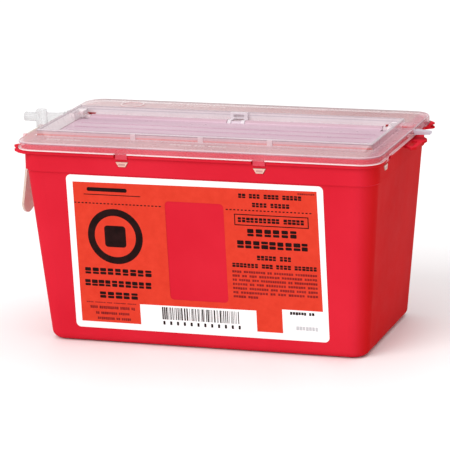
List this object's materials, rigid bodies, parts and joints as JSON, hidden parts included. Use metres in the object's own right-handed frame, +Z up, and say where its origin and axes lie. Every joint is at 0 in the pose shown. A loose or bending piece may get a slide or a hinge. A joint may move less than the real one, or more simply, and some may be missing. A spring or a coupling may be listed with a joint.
{
  "type": "sharps container",
  "caption": "Red tapered tub with a clear press-on lid, a raised framed entry with a lever-turned door, a hanging lock strap and a front label.",
  "frame": {"origin": "middle of the tub's flat rest face", "axes": "+X along the long side towards the axle's end tab, +Y away from the label, +Z up"},
  "size_m": [0.2902, 0.1574, 0.1624],
  "materials": {
    "tub_red": "glossy",
    "lid_clear": "frosted, translucent",
    "door_lilac": "frosted, translucent",
    "axle_white": "satin",
    "lever_clear": "clear, glossy",
    "tab_white": "satin",
    "clip_white": "satin",
    "strap_clear": "frosted, translucent",
    "label_sheet": "smooth printed film"
  },
  "bodies": {
    "container": {"base_shell": "tub_red", "lid_cover": "lid_clear", "label": "label_sheet", "hinge_clip": "clip_white"},
    "door": {"door_panel": "door_lilac", "door_axle": "axle_white", "door_lever": "lever_clear", "axle_end_tab": "tab_white"},
    "strap": {"lock_strap": "strap_clear"}
  },
  "joints": [
    {"name": "door_hinge", "type": "hinge", "parent": "container", "child": "door", "pos_m": [0, 0.021, 0.1455], "axis": [-1, 0, 0], "range_deg": [0, 95]},
    {"name": "strap_hinge", "type": "hinge", "parent": "container", "child": "strap", "pos_m": [-0.1366, -0.028, 0.1439], "axis": [0, 1, 0], "range_deg": [-6, 110]}
  ]
}
